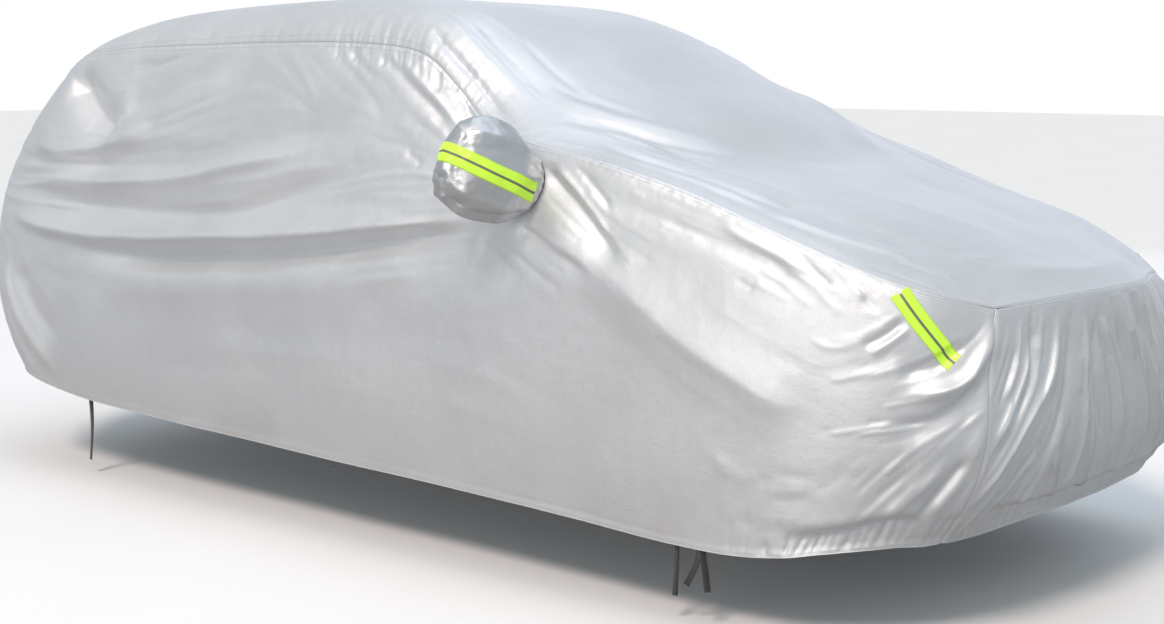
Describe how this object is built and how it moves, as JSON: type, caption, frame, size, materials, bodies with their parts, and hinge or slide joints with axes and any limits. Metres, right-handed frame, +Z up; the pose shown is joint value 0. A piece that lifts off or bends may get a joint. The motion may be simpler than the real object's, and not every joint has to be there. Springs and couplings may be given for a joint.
{
  "type": "fitted car cover",
  "caption": "Fitted cover of silver coated cloth draped over a small family car's shape, with mirror pockets, reflective strips, elastic hem and hanging webbing straps.",
  "frame": {"origin": "underside of the top panel in the middle of the roof, where the cover rests on the roof of what it covers; the ground is 1.683 m below", "axes": "+X towards the nose of the cover, +Y to its left side, +Z up"},
  "size_m": [4.3528, 2.2012, 1.6366],
  "materials": {
    "silver_cloth": "silver coated woven cloth with a satin sheen",
    "pocket_cloth": "thin silver coated cloth, glossier and finely creased",
    "reflective_tape": "lime reflective tape with a dark middle line",
    "webbing": "black flat woven webbing",
    "hem_loop": "dark grey plastic cord"
  },
  "bodies": {
    "root": {"top_panel": "silver_cloth", "side_panel_right": "silver_cloth", "side_panel_left": "silver_cloth", "nose_panel": "silver_cloth", "tail_panel": "silver_cloth", "mirror_pocket_right": "pocket_cloth", "mirror_pocket_left": "pocket_cloth", "pocket_tape_right": "reflective_tape", "pocket_tape_left": "reflective_tape", "corner_strip_right": "reflective_tape", "corner_strip_left": "reflective_tape", "strap_rear_right": "webbing", "strap_rear_left": "webbing", "strap_front_right": "webbing", "strap_front_left": "webbing", "strap_front_loop_right": "webbing", "strap_front_loop_left": "webbing", "hem_loop_right": "hem_loop", "hem_loop_left": "hem_loop"}
  },
  "joints": []
}
